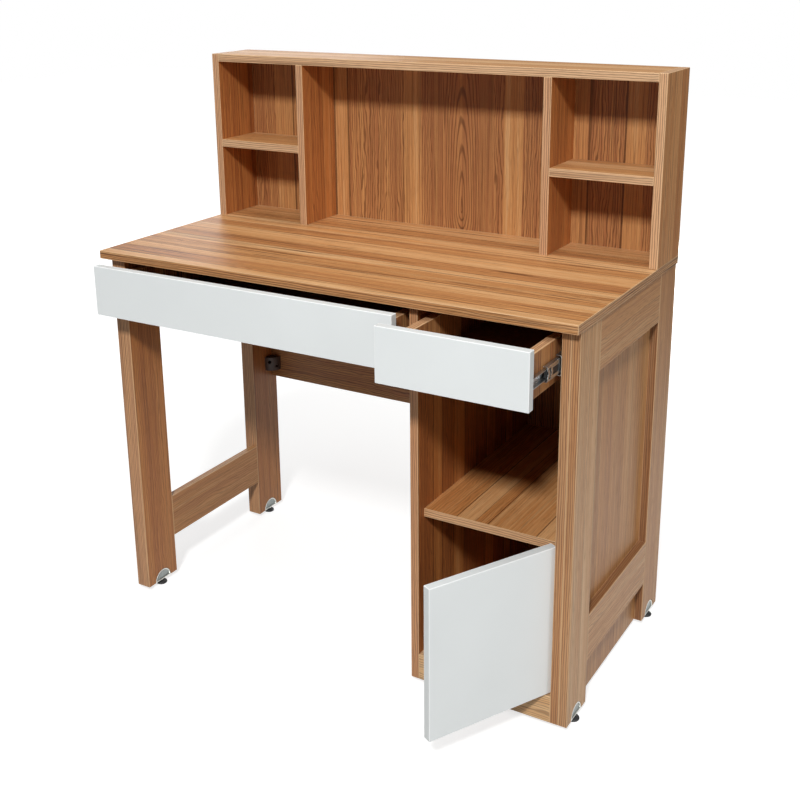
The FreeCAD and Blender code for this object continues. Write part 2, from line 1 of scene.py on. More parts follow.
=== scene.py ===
# %% [markdown]
# # A student desk with a hutch
# This desk is flat-pack furniture: boards of walnut-print melamine, white drawer fronts and a white door, and
# bought-in steel and plastic fittings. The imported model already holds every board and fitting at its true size
# and place, so the lesson loads it as a fixed frame. What is left to do is the looks: finishes, then the small
# turned, threaded and pressed forms that a plain solid lacks, then light and a camera.

# %% Load the frame
import json
import math
import random

import bmesh
import bpy
from mathutils import Matrix, Vector


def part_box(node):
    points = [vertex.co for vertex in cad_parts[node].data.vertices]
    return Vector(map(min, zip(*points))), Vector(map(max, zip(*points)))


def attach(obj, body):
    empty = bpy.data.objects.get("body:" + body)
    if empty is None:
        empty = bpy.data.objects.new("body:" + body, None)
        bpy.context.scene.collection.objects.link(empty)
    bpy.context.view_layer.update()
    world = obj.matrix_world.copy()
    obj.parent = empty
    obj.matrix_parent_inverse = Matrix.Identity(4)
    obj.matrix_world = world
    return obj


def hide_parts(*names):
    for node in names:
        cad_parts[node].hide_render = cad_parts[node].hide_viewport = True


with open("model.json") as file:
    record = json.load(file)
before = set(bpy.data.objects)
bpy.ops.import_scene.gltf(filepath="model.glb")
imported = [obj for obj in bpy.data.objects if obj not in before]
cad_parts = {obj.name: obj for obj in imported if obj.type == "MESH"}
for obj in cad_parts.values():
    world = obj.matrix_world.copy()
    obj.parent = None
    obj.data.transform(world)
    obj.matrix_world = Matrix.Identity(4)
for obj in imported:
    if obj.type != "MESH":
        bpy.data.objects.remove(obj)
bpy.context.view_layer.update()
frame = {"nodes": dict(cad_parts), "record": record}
nodes = frame["nodes"]

# %% [markdown]
# ## The camera
# The desk was seen from the front right, a little above the desktop. A camera can be placed by eye, but straight
# boards make it possible to solve for it: the place, the turn and the focal length below bring the corners of the
# boards onto the picture's corners. A small downward shift keeps the uprights nearly parallel, as a view camera does.

# %% Place the camera
SENSOR_WIDTH = 36.0
LENS = 52.44
SHIFT_DOWN = -0.12
CAMERA_PLACE = (1.12857, -1.86211, 1.30172)
CAMERA_TURN = (73.25, 0.49, 30.3)  # degrees about x, y and z
camera_data = bpy.data.cameras.new("front_right_camera")
camera_data.sensor_width = SENSOR_WIDTH
camera_data.lens = LENS
camera_data.shift_y = SHIFT_DOWN
camera = bpy.data.objects.new("front_right_camera", camera_data)
camera.location = CAMERA_PLACE
camera.rotation_euler = [math.radians(turn) for turn in CAMERA_TURN]
bpy.context.scene.collection.objects.link(camera)
bpy.context.scene.camera = camera
print("camera:", round(camera_data.lens, 1), "mm at", [round(value, 2) for value in camera.location])

# %% [markdown]
# ## Colour, and one node at a time
# A shader works in linear light, while colours are easiest to judge as sRGB hex values, so one function turns the
# one into the other. Node trees could be built by hand in the editor; in a script, one small function that adds a
# node, sets it and joins its inputs keeps each finish readable from its base to its shader. Sums, spans and mixes
# come up so often that each has a short form.

# %% Helpers for finishes
MM = 0.001
TO_MM = (1000.0, 1000.0, 1000.0)
UNIT = (0.0, 1.0)
BUMP_DEPTH = 0.1 * MM
MIX_SOCKETS = {"FLOAT": (2, 3), "VECTOR": (4, 5), "RGBA": (6, 7)}  # the two inputs that a mix of each kind uses


def linear(hex_colour):
    """An sRGB hex colour as linear red, green and blue, with full alpha."""
    parts = [int(hex_colour[start:start + 2], 16) / 255 for start in (1, 3, 5)]
    return [part / 12.92 if part <= 0.04045 else ((part + 0.055) / 1.055) ** 2.4 for part in parts] + [1.0]


def join(tree, socket, source):
    """Gives a socket a node, one of a node's outputs or a plain value."""
    if isinstance(source, bpy.types.Node):
        source = next(out for out in source.outputs if out.enabled)
    if isinstance(source, bpy.types.NodeSocket):
        tree.links.new(source, socket)
    else:
        socket.default_value = source


def put(tree, kind, joins=None, **settings):
    """Adds a node with these settings and joins its inputs."""
    node = tree.nodes.new("ShaderNode" + kind)
    for name, value in settings.items():
        setattr(node, name, value)
    for socket, source in (joins or {}).items():
        join(tree, node.inputs[socket], source)
    return node


def wire(tree, node, **sources):
    """Joins the sockets of a node that is already there."""
    for socket, source in sources.items():
        join(tree, node.inputs[socket.replace("_", " ")], source)


def maths(tree, operation, *values, kind="Math"):
    """One step of arithmetic on numbers."""
    return put(tree, kind, dict(enumerate(values)), operation=operation)


def vectors(tree, operation, *values):
    """One step of arithmetic on vectors."""
    return maths(tree, operation, *values, kind="VectorMath")


def mapped(tree, value, span, to=UNIT, **settings):
    """Maps one span of values onto another, and clips what lies beyond."""
    return put(tree, "MapRange", {0: value, 1: span[0], 2: span[1], 3: to[0], 4: to[1]}, **settings)


def mixed(tree, share, first, second, kind="RGBA", **settings):
    """Mixes two colours, or two values of another kind, by a share."""
    low, high = MIX_SOCKETS[kind]
    return put(tree, "Mix", {0: share, low: first, high: second}, data_type=kind, **settings)


def in_mm(tree, where):
    """The place on an object, in mm."""
    return vectors(tree, "MULTIPLY", where.outputs["Object"], TO_MM)


def new_finish(name, **sockets):
    """A material with one Principled shader, whose constant values sit on its own sockets."""
    material = bpy.data.materials.new(name)
    material.use_nodes = True
    tree = material.node_tree
    shader = tree.nodes["Principled BSDF"]
    wire(tree, shader, **sockets)
    return material, tree, shader


def coat(tree, shader, colour, rough, height, strength):
    """Gives a shader its colour, its roughness and a fine bump of this strength."""
    bump = put(tree, "Bump", {"Height": height, "Strength": strength, "Distance": BUMP_DEPTH})
    wire(tree, shader, Base_Color=colour, Roughness=rough, Normal=bump)


def dress(material, *names):
    """Gives CAD nodes their finish."""
    for name in names:
        for slot in nodes[name].material_slots:
            slot.material = material


print("helpers ready; mid grey is", round(linear("#808080")[0], 3), "in linear light")

# %% [markdown]
# ## Walnut-print melamine
# The boards are chipboard faced with printed paper under melamine resin. The print shows strips of walnut laid side
# by side: strips differ in tone, a thin dark line parts them, growth lines wander along the grain, and one or two
# strips show the pointed arches of a flat-sawn plank. An image would be the quick way, but noise stretched along the
# grain needs no picture and continues over any board. One node group holds the print; each board tells it which way
# its grain runs, and how large it is, so that the edge bands fall where they should, and so does the pale line along
# each arris, a painted highlight.

# %% The walnut print as a node group
# Length and width in mm of each pattern
FIBRE = (120.0, 1.9)  # fine fibres, drawn coarse enough to show
STREAK = (560.0, 9.0)  # broad streaks of light and dark
VESSEL = (34.0, 1.3)  # short dark vessels, drawn a little coarse
WANDER = (260.0, 46.0)  # how growth lines wander
QUIVER = (34.0, 10.0)  # how growth lines quiver
HAIR = (1500.0, 10.0)  # thin dark hair lines that run nearly the whole length
NOISE_ROUGHNESS = 0.6
NOISE_MIDDLE = 0.5
# Growth lines, in mm
GROWTH_PITCH = 5.2
WANDER_REACH, QUIVER_REACH = 34.0, 6.0
ARCH_WANDER = 6.0  # round the arches they wander less,
ARCH_STEADY = 0.75  # and quiver less by this share
ARCH_RISE, ARCH_FALL = 11.0, 3.2  # an arch is this many times longer than wide, above and below its eye
ARCH_REACH = (40.0, 70.0)  # half width of the strip that shows the arches
# Which part of a pattern is drawn as a line
GROWTH_LINE = (0.1, 1.0)
VESSEL_LINE = (0.56, 0.7)
HAIR_LINE = (0.006, 0.022)
# Width in mm of the painted highlight along each arris
ARRIS_HIGHLIGHT_WIDTH = (0.5, 1.5)  # mm
# How strongly patterns show
STREAK_SHARE, FIBRE_SHARE = 0.6, 0.5
BREAK_SHARE, UNBROKEN_SHARE = 0.9, 0.3  # growth lines break up with the fibres
# The second share is that of the painted highlight along each arris
VESSEL_SHARE, ARRIS_HIGHLIGHT_SHARE = 0.3, 0.6
PRINT_ROUGHNESS, FIBRE_ROUGHNESS, VESSEL_ROUGHNESS = 0.38, 0.16, 0.1
BOARD_STEP = 731.0  # slides the print on from board to board and from strip to strip
# Edge bands
EDGE_FACING = (0.6, 0.8)  # a face that is turned this far towards a board's edge is a band
BAND_LUCK = (0.64, 0.3, 1.0, 1.0)  # tone, slide and figure
BAND_SQUEEZE = 1.3  # their lines lie this much closer,
BAND_LINES = 0.8  # show this strongly
BAND_CALM = 0.6  # and wander this much less
# Colours from dark to pale, by tone, and those laid over them
DARKEST, PALEST = "#5E341D", "#DAB283"
SHADES = {0.22: "#8A5334", 0.48: "#AA7146", 0.72: "#C48D57"}
# Painted light: a red tint multiplied onto boards in shade, for the warm light that wood bounces onto wood
BOUNCE_WARMER = "#FFE4C6"
GROWTH_COLOUR, VESSEL_COLOUR, HAIR_COLOUR, SEAM_COLOUR = "#4E2713", "#4A2812", "#4A2611", "#47270F"
# Colour of the painted highlight along each arris
ARRIS_HIGHLIGHT_COLOUR = "#DDBB90"
PRINT_INPUTS = {"Place": "Vector", "Facing": "Vector", "Low": "Vector", "High": "Vector", "Arch": "Vector",
                "Luck": "Color", "Seam": "Float", "Board": "Float", "Tone": "Float", "Lines": "Float",
                "Band": "Float", "Hairs": "Float", "Bounce Warmth": "Float", "Tint": "Color"}
PRINT_OUTPUTS = {"Color": "Color", "Height": "Float", "Roughness": "Float"}


def stretched_noise(tree, place, size, detail):
    """Noise drawn out along the grain."""
    length, width = size
    drawn = vectors(tree, "MULTIPLY", place, (1 / length, 1 / width, 1 / width))
    return put(tree, "TexNoise", {"Vector": drawn, "Scale": 1.0, "Detail": detail, "Roughness": NOISE_ROUGHNESS})


def from_middle(tree, noise):
    """Noise that swings to both sides of zero."""
    return maths(tree, "SUBTRACT", noise, NOISE_MIDDLE)


def to_arris(tree, place, low, high):
    """How far a place is from the nearest arris of a board: the middle one of its distances to the board's sides."""
    to_low = vectors(tree, "SUBTRACT", place, low)
    to_high = vectors(tree, "SUBTRACT", high, place)
    inside = vectors(tree, "MINIMUM", to_low, to_high)
    first, second, third = put(tree, "SeparateXYZ", {0: inside}).outputs
    lesser = maths(tree, "MINIMUM", first, second)
    greater = maths(tree, "MAXIMUM", first, second)
    return maths(tree, "MAXIMUM", lesser, maths(tree, "MINIMUM", greater, third))


def growth_lines(tree, given, grain, run_across, edge):
    """Dark lines along the grain: nearly straight on most strips, arches round one point on others."""
    wander = from_middle(tree, stretched_noise(tree, grain, WANDER, 2.0))
    quiver = from_middle(tree, stretched_noise(tree, grain, QUIVER, 1.0))
    quiver = maths(tree, "MULTIPLY", quiver, QUIVER_REACH)
    calm = maths(tree, "MULTIPLY_ADD", edge, -BAND_CALM, 1.0)
    wander = maths(tree, "MULTIPLY", wander, calm)
    quiver = maths(tree, "MULTIPLY", quiver, calm)
    straight = maths(tree, "MULTIPLY_ADD", wander, WANDER_REACH, run_across)
    away = vectors(tree, "SUBTRACT", given["Place"], given["Arch"])
    above, beside, _ = put(tree, "SeparateXYZ", {0: away}).outputs
    rise = maths(tree, "DIVIDE", above, ARCH_RISE)
    fall = maths(tree, "DIVIDE", above, -ARCH_FALL)
    tall = maths(tree, "MAXIMUM", rise, fall)
    rounds = vectors(tree, "LENGTH", put(tree, "CombineXYZ", {0: tall, 1: beside}))
    arches = maths(tree, "MULTIPLY_ADD", wander, ARCH_WANDER, rounds.outputs["Value"])
    near = mapped(tree, maths(tree, "ABSOLUTE", beside), ARCH_REACH, (1.0, 0.0))
    growth = mixed(tree, near, straight, arches, kind="FLOAT")
    steady = maths(tree, "MULTIPLY_ADD", near, -ARCH_STEADY, 1.0)
    growth = maths(tree, "MULTIPLY_ADD", quiver, steady, growth)
    growth = maths(tree, "MULTIPLY", growth, 2 * math.pi / GROWTH_PITCH)
    return mapped(tree, maths(tree, "SINE", growth), GROWTH_LINE, interpolation_type="SMOOTHSTEP")


def walnut_print():
    """The node group: colour, height and roughness of a place on a board."""
    tree = bpy.data.node_groups.new("walnut_print", "ShaderNodeTree")
    for way, sockets in (("INPUT", PRINT_INPUTS), ("OUTPUT", PRINT_OUTPUTS)):
        for name, kind in sockets.items():
            tree.interface.new_socket(name=name, in_out=way, socket_type="NodeSocket" + kind)
    given = tree.nodes.new("NodeGroupInput").outputs
    # Which faces are edges, and which of those cross the grain
    facing = put(tree, "SeparateXYZ", {0: vectors(tree, "ABSOLUTE", given["Facing"])})
    end = mapped(tree, facing.outputs[0], EDGE_FACING)
    side = mapped(tree, facing.outputs[1], EDGE_FACING)
    edge = maths(tree, "MAXIMUM", end, side)
    inner = maths(tree, "SUBTRACT", 1.0, edge)
    # On an edge the print runs along the edge
    along, across, through = put(tree, "SeparateXYZ", {0: given["Place"]}).outputs
    squeezed = maths(tree, "MULTIPLY", through, BAND_SQUEEZE)
    end_run = put(tree, "CombineXYZ", {0: across, 1: squeezed, 2: along})
    side_run = put(tree, "CombineXYZ", {0: along, 1: squeezed, 2: across})
    run = mixed(tree, end, given["Place"], end_run, kind="VECTOR")
    run = mixed(tree, side, run, side_run, kind="VECTOR")
    run_along, run_across, run_through = put(tree, "SeparateXYZ", {0: run}).outputs
    # Each strip has its own tone, slide and strength of figure; an edge band has one for all
    luck = mixed(tree, edge, given["Luck"], BAND_LUCK)
    strip_tone, slide, figure = put(tree, "SeparateColor", {0: luck}).outputs
    moved = maths(tree, "MULTIPLY_ADD", given["Board"], BOARD_STEP, run_across)
    slid = maths(tree, "MULTIPLY_ADD", slide, BOARD_STEP, run_along)
    grain = put(tree, "CombineXYZ", {0: slid, 1: moved, 2: run_through})
    growth = growth_lines(tree, given, grain, run_across, edge)
    fibre = stretched_noise(tree, grain, FIBRE, 3.0)
    streak = stretched_noise(tree, grain, STREAK, 2.0)
    vessel = mapped(tree, stretched_noise(tree, grain, VESSEL, 1.0), VESSEL_LINE)
    # Tone of each place, from its strip, its streak and its fibre
    tone = maths(tree, "ADD", strip_tone, given["Tone"])
    tone = maths(tree, "MULTIPLY_ADD", streak, STREAK_SHARE, tone)
    tone = maths(tree, "MULTIPLY_ADD", fibre, FIBRE_SHARE, tone)
    tone = maths(tree, "SUBTRACT", tone, (STREAK_SHARE + FIBRE_SHARE) * NOISE_MIDDLE)
    ramp = put(tree, "ValToRGB", {0: tone})
    for place, shade in SHADES.items():
        ramp.color_ramp.elements.new(place).color = linear(shade)
    ramp.color_ramp.elements[0].color = linear(DARKEST)
    ramp.color_ramp.elements[-1].color = linear(PALEST)
    # Painted light: boards are made redder by a share, mostly those in shade, standing in for the warm light that wood
    # bounces onto wood. Edge bands take a tint: their own colour on most boards, painted shade round the right recess
    colour = mixed(tree, given["Bounce Warmth"], ramp, linear(BOUNCE_WARMER), blend_type="MULTIPLY")
    band_share = maths(tree, "MULTIPLY", edge, given["Band"])
    colour = mixed(tree, band_share, colour, given["Tint"])
    # Dark growth lines, vessels and hair lines over the tone; edge bands are lined more strongly
    lines = mixed(tree, edge, given["Lines"], BAND_LINES, kind="FLOAT")
    broken = maths(tree, "MULTIPLY_ADD", fibre, BREAK_SHARE, UNBROKEN_SHARE)
    line_share = growth
    for share in (lines, figure, broken):
        line_share = maths(tree, "MULTIPLY", line_share, share)
    colour = mixed(tree, line_share, colour, linear(GROWTH_COLOUR))
    colour = mixed(tree, maths(tree, "MULTIPLY", vessel, VESSEL_SHARE), colour, linear(VESSEL_COLOUR))
    off_hair = maths(tree, "ABSOLUTE", from_middle(tree, stretched_noise(tree, grain, HAIR, 1.0)))
    hair = mapped(tree, off_hair, HAIR_LINE, (1.0, 0.0))
    colour = mixed(tree, maths(tree, "MULTIPLY", hair, given["Hairs"]), colour, linear(HAIR_COLOUR))
    # Only faces have seams
    seam_share = maths(tree, "MULTIPLY", given["Seam"], inner)
    colour = mixed(tree, seam_share, colour, linear(SEAM_COLOUR))
    # Painted highlight: a pale line along each arris, where a rounded edge would catch the light
    away = to_arris(tree, given["Place"], given["Low"], given["High"])
    arris = mapped(tree, away, ARRIS_HIGHLIGHT_WIDTH, (ARRIS_HIGHLIGHT_SHARE, 0.0))
    colour = mixed(tree, arris, colour, linear(ARRIS_HIGHLIGHT_COLOUR))
    # The press plate leaves the vessels and seams a little low, and rougher than the rest
    height = maths(tree, "SUBTRACT", fibre, vessel)
    height = maths(tree, "SUBTRACT", height, seam_share)
    rough = maths(tree, "MULTIPLY_ADD", fibre, FIBRE_ROUGHNESS, PRINT_ROUGHNESS)
    rough = maths(tree, "MULTIPLY_ADD", vessel, VESSEL_ROUGHNESS, rough)
    wire(tree, tree.nodes.new("NodeGroupOutput"), Color=colour, Height=height, Roughness=rough)
    return tree


PRINT = walnut_print()
print("walnut print:", len(PRINT.nodes), "nodes")

# %% [markdown]
# ## Board by board
# Each board takes the same print with its own grain direction: uprights run up, the desktop and the hutch top run
# along, shelves and rails run front to back. Strips are laid across each board by a seeded draw, wide figured ones
# between narrow plain ones; on the desktop, the hutch back and the shelf, which show most, they are listed one by one.
# The resin is satin, so the shader is rough, with the usual index of a plastic.

# %% Dress the walnut boards
AXES = "xyz"
RESIN_IOR = 1.5
PRINT_SHEEN, PRINT_BUMP = 0.4, 0.25
FAR_OFF = (0.0, 9000.0, 0.0)  # a board without arches has their middle here
SEAM = 1.6  # mm, the dark line between two strips
SEAM_SLIDE = 0.5
SEAM_SHARE, CALM_SEAM = 0.7, 0.4  # how strongly it shows, and how much less on calm boards
PLAIN, FIGURED = 0.2, 1.0
# Drawn strips: width in mm, tone, and how far calm boards bring the tones together
NARROW, WIDE = (26, 46), (40, 110)
PALE, DARK = (0.64, 0.76), (0.46, 0.6)
CALM_PALE, CALM_DARK = 0.1, 0.04
# Strips listed from one side of the board to the other: width in mm, tone, figure
DESKTOP_STRIPS = [(24, 0.74, PLAIN), (46, 0.52, FIGURED), (34, 0.72, PLAIN), (58, 0.62, FIGURED), (30, 0.78, PLAIN),
                  (44, 0.5, FIGURED), (62, 0.7, PLAIN), (38, 0.55, FIGURED), (52, 0.74, PLAIN), (42, 0.56, FIGURED),
                  (70, 0.7, PLAIN)]
BACK_STRIPS = [(60, 0.4, FIGURED), (46, 0.5, PLAIN), (74, 0.42, FIGURED), (36, 0.56, PLAIN), (34, 0.6, PLAIN),
               (138, 0.44, FIGURED), (41, 0.6, PLAIN), (191, 0.38, FIGURED), (41, 0.62, PLAIN), (94, 0.38, FIGURED),
               (44, 0.5, PLAIN), (72, 0.38, FIGURED), (40, 0.54, PLAIN), (57, 0.42, FIGURED)]
SHELF_STRIPS = [(66, 0.46, FIGURED), (36, 0.68, PLAIN), (24, 0.44, FIGURED), (92, 0.56, PLAIN), (44, 0.7, PLAIN)]


def laid_strips(number, width, calm):
    """Strips across a board that is this wide, by a draw that is the same each run; calm ones differ little."""
    draw = random.Random(number)
    strips, laid = [], 0.0
    while laid < width:
        if len(strips) % 2:
            strips.append((draw.uniform(*NARROW), draw.uniform(*PALE) - calm * CALM_PALE, PLAIN))
        else:
            strips.append((draw.uniform(*WIDE), draw.uniform(*DARK) + calm * CALM_DARK, FIGURED))
        laid += strips[-1][0]
    return strips


def lay(stops, strips, number, width, calm):
    """Sets the stops of a ramp to the strips: tone, slide and figure as colour, the seams as alpha."""
    laid = 0.0
    draw = random.Random(number)
    for index, (strip, tone, figure) in enumerate(strips):
        if laid + SEAM >= width:
            break
        stop = stops[index] if index == 0 else stops.new(laid / width)
        stop.color = (tone, draw.random(), figure, 0.0)
        laid += strip
        if laid < width:
            stops.new((laid - SEAM) / width).color = (tone, SEAM_SLIDE, figure, SEAM_SHARE - CALM_SEAM * calm)
    if stops[-1].position == 1.0:
        stops.remove(stops[-1])


def walnut(name, grain, thickness, number, strips=None, calm=0, tone=0.0, lines=0.75, band=0.3, tint="#D4B697",
           hairs=0.4, bounce_warmth=0.0, arch=None):
    """One board's finish. The grain and the thickness lie along the axes named; arch is a point in mm."""
    beside = next(axis for axis in AXES if axis not in (grain, thickness))
    order = [AXES.index(axis) for axis in (grain, beside, thickness)]
    low, high = ([corner[axis] / MM for axis in order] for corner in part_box(name))
    material, tree, shader = new_finish("walnut_melamine_" + name, IOR=RESIN_IOR, Specular_IOR_Level=PRINT_SHEEN)
    where = put(tree, "TexCoord")
    runs = {}
    for given, source in (("Place", in_mm(tree, where)), ("Facing", where.outputs["Normal"])):
        parts = put(tree, "SeparateXYZ", {0: source}).outputs
        runs[given] = put(tree, "CombineXYZ", {index: parts[axis] for index, axis in enumerate(order)})
    across = put(tree, "SeparateXYZ", {0: runs["Place"]}).outputs[1]
    width = high[1] - low[1]
    ramp = put(tree, "ValToRGB", {0: mapped(tree, across, (low[1], high[1]))})
    ramp.color_ramp.interpolation = "CONSTANT"
    lay(ramp.color_ramp.elements, strips or laid_strips(number, width, calm), number, width, calm)
    spot = [arch[axis] for axis in order] if arch else FAR_OFF
    board = put(tree, "Group", {
        **runs, "Low": low, "High": high, "Arch": spot, "Luck": ramp.outputs["Color"], "Seam": ramp.outputs["Alpha"],
        "Board": number, "Tone": tone, "Lines": lines, "Band": band, "Hairs": hairs, "Bounce Warmth": bounce_warmth,
        "Tint": linear(tint)}, node_tree=PRINT).outputs
    coat(tree, shader, board["Color"], board["Roughness"], board["Height"], PRINT_BUMP)
    dress(material, name)


BOARDS = {
    "desktop": dict(grain="x", thickness="z", strips=DESKTOP_STRIPS, tone=0.115, lines=0.55, band=0.05, hairs=0.8,
                    bounce_warmth=0.2),
    "hutch_top": dict(grain="x", thickness="z", tone=0.2, lines=0.4, band=0.5),
    "hutch_back": dict(grain="z", thickness="y", strips=BACK_STRIPS, tone=0.13, lines=0.8, arch=(42, 242, 792)),
    "pedestal_back": dict(grain="z", thickness="y"),
    "pedestal_panel_left": dict(grain="z", thickness="x", tone=0.04, bounce_warmth=1.0),
    "modesty_panel": dict(grain="x", thickness="y"),
    "plinth": dict(grain="x", thickness="y", tone=0.38, lines=0.6),
}
for name in ("hutch_side_left", "hutch_side_right", "hutch_divider_left", "hutch_divider_right"):
    BOARDS[name] = dict(grain="z", thickness="x", calm=0.5, tone=0.07, lines=0.5, band=0.5, bounce_warmth=0.9)
# Painted light: the right hutch side is paler than the like boards, standing in for the light on its outer face
BOARDS["hutch_side_right"].update(tone=0.28)
for name in ("leg_front_left", "leg_rear_left"):
    BOARDS[name] = dict(grain="z", thickness="x", calm=1, tone=0.06, lines=0.4, band=0.3, bounce_warmth=0.6)
# Painted light: the right pedestal's panel and posts are paler than the like boards on the left, standing in for the
# light on that side
for name in ("pedestal_panel_right", "right_post_front", "right_post_rear"):
    BOARDS[name] = dict(grain="z", thickness="x", calm=1, tone=0.14, lines=0.35, band=0.5, tint="#A0704F",
                        hairs=0.2)
for name in ("left_top_rail", "left_stretcher", "right_top_rail", "right_bottom_rail"):
    BOARDS[name] = dict(grain="y", thickness="x", calm=1, tone=0.06, lines=0.35, band=0.15, hairs=0.2)
# The frame on the right is paler than the panel inside it. Painted light: its rails are paler than the rails on the
# left, standing in for the light on that side. Painted shade: the dark tint on the bands of the rear post and the
# bottom rail stands in for the shadow round the recess, and also falls on their bands that face away from it.
BOARDS["right_post_front"].update(tone=0.2, tint="#9C6C4B")
BOARDS["right_post_rear"].update(tone=0.2, band=0.7, tint="#6C4029")
BOARDS["right_top_rail"].update(tone=0.15)
BOARDS["right_bottom_rail"].update(tone=0.15, band=0.7, tint="#6C4029")
for name in ("hutch_shelf_left", "hutch_shelf_right"):
    BOARDS[name] = dict(grain="x", thickness="z", tone=0.16, lines=0.45, band=0.5)
for name in ("pedestal_bottom", "pedestal_shelf"):
    BOARDS[name] = dict(grain="y", thickness="z", strips=SHELF_STRIPS, tone=0.26, lines=0.35, hairs=0.2, bounce_warmth=0.6)
for side in ("left", "right"):
    for wall in ("left", "right"):
        BOARDS[f"{side}_drawer_side_{wall}"] = dict(grain="z", thickness="x")
    BOARDS[f"{side}_drawer_back"] = dict(grain="x", thickness="y")
for number, (name, run) in enumerate(BOARDS.items()):
    walnut(name, number=number, **run)
print("walnut boards:", len(BOARDS))

# %% [markdown]
# ## White melamine
# The two drawer fronts and the door are the same chipboard with a plain white face and white edge bands. A flat white
# would look like paper, so the face gets the faint orange peel of pressed resin, and each arris a bright hair line,
# painted on as the highlight that a rounded edge would catch.

# %% Dress the white fronts
PEEL_SIZE = 2.4  # mm, orange peel, drawn coarse enough to show
CLOUD_SIZE = 160.0  # mm, slow drift of the white over a face
FRONT_FACING = (0.3, 0.6)  # a face that is turned less than this to the front is an edge band
# The painted highlight along each arris: its width in mm, and below, its share and its colour
WHITE_HIGHLIGHT_WIDTH = (0.6, 1.7)  # mm
WHITE_BAND_SHARE, WHITE_HIGHLIGHT_SHARE = 0.6, 0.85
WHITE_SHADES = ("#E4E8E8", "#ECF0F0")
WHITE_BAND_COLOUR, WHITE_HIGHLIGHT_COLOUR = "#D2D6D5", "#FAFCFC"
WHITE_ROUGHNESS = (0.3, 0.42)
WHITE_SHEEN, PEEL_BUMP = 0.45, 0.12
# The door stands open, so its finish is worked out as if it were turned shut again about its hinge line
DOOR_OPEN = math.radians(62)
HINGE_LINE = (453.718, -224.8, 0.0)
DOOR_SHUT = ((207.0, -232.0, 65.0), (462.918, -216.0, 347.0))


def clouds(tree, place, size):
    """Soft noise of this size in mm."""
    spread = put(tree, "VectorMath", {0: place, "Scale": 1 / size}, operation="SCALE")
    return put(tree, "TexNoise", {"Vector": spread, "Scale": 1.0, "Detail": 2.0})


def white_melamine(name, low, high, opened=0.0):
    """The finish of a white board that lies between two corners, in mm, once it is turned shut."""
    material, tree, shader = new_finish("white_melamine_" + name, IOR=RESIN_IOR, Specular_IOR_Level=WHITE_SHEEN)
    where = put(tree, "TexCoord")
    shut = {"Angle": -opened}
    place = put(tree, "VectorRotate", {"Vector": in_mm(tree, where), "Center": HINGE_LINE, **shut},
                rotation_type="Z_AXIS")
    facing = put(tree, "VectorRotate", {"Vector": where.outputs["Normal"], **shut}, rotation_type="Z_AXIS")
    to_front = maths(tree, "ABSOLUTE", put(tree, "SeparateXYZ", {0: facing}).outputs[1])
    band = mapped(tree, to_front, FRONT_FACING, (WHITE_BAND_SHARE, 0.0))
    # Painted highlight: a bright line along each arris
    arris = mapped(tree, to_arris(tree, place, low, high), WHITE_HIGHLIGHT_WIDTH, (WHITE_HIGHLIGHT_SHARE, 0.0))
    peel = clouds(tree, place, PEEL_SIZE)
    colour = mixed(tree, clouds(tree, place, CLOUD_SIZE), *(linear(shade) for shade in WHITE_SHADES))
    colour = mixed(tree, band, colour, linear(WHITE_BAND_COLOUR))
    colour = mixed(tree, arris, colour, linear(WHITE_HIGHLIGHT_COLOUR))
    coat(tree, shader, colour, mapped(tree, peel, UNIT, WHITE_ROUGHNESS), peel, PEEL_BUMP)
    dress(material, name)


white_melamine("door", *DOOR_SHUT, opened=DOOR_OPEN)
for name in ("left_drawer_front", "right_drawer_front"):
    white_melamine(name, *([value / MM for value in corner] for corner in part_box(name)))
print("white fronts: the door and two drawer fronts")

# %% [markdown]
# ## Metals and plastics
# The fittings are rolled and zinc-plated steel, nickel-plated steel and moulded plastic. Metal takes its look from what
# it mirrors, so it needs little colour and much variation in roughness: rolled strip has streaks along its length,
# plating has a soft cloud. Moulded plastic has the fine grain that the mould was etched with.

# %% Dress the fittings
GRIT_SPAN = (0.3, 0.7)  # the span of the noise in which most of it lies
GRIT_BUMP = 0.15
FITTINGS = {
    # finish: base colour, second colour, metallic, roughness from and to, pattern size in mm along x, y and z
    "zinc_plated_strip": ("#C4C7C8", "#A9ADAF", 1.0, (0.24, 0.42), (1.5, 60.0, 1.5)),
    "nickel_plate": ("#CBC6BC", "#B5AFA4", 1.0, (0.18, 0.32), (6.0, 6.0, 6.0)),
    "zinc_plated_screw": ("#C9CACA", "#A8AAAB", 1.0, (0.22, 0.4), (1.2, 1.2, 1.2)),
    "satin_silver": ("#BFC4C3", "#A6ACAB", 1.0, (0.3, 0.45), (4.0, 4.0, 14.0)),
    "black_moulding": ("#161616", "#232323", 0.0, (0.42, 0.6), (0.9, 0.9, 0.9)),
    "brown_moulding": ("#33211A", "#402B20", 0.0, (0.42, 0.6), (0.9, 0.9, 0.9)),
    "grey_black_moulding": ("#262627", "#353536", 0.0, (0.45, 0.62), (0.9, 0.9, 0.9)),
    "hardboard": ("#775233", "#9C7149", 0.0, (0.6, 0.8), (5.0, 2.4, 2.4)),
    "turned_beech": ("#D2AB7C", "#BF9562", 0.0, (0.5, 0.65), (2.0, 2.0, 2.0)),
}
finishes = {}
for name, (base, second, metal, polish, size) in FITTINGS.items():
    material, tree, shader = new_finish(name, Metallic=metal)
    scale = [1 / (length * MM) for length in size]
    place = vectors(tree, "MULTIPLY", put(tree, "TexCoord").outputs["Object"], scale)
    grit = put(tree, "TexNoise", {"Vector": place, "Scale": 1.0, "Detail": 3.0})
    spread = mapped(tree, grit, GRIT_SPAN)
    colour = mixed(tree, spread, linear(base), linear(second))
    coat(tree, shader, colour, mapped(tree, spread, UNIT, polish), grit, GRIT_BUMP)
    finishes[name] = material

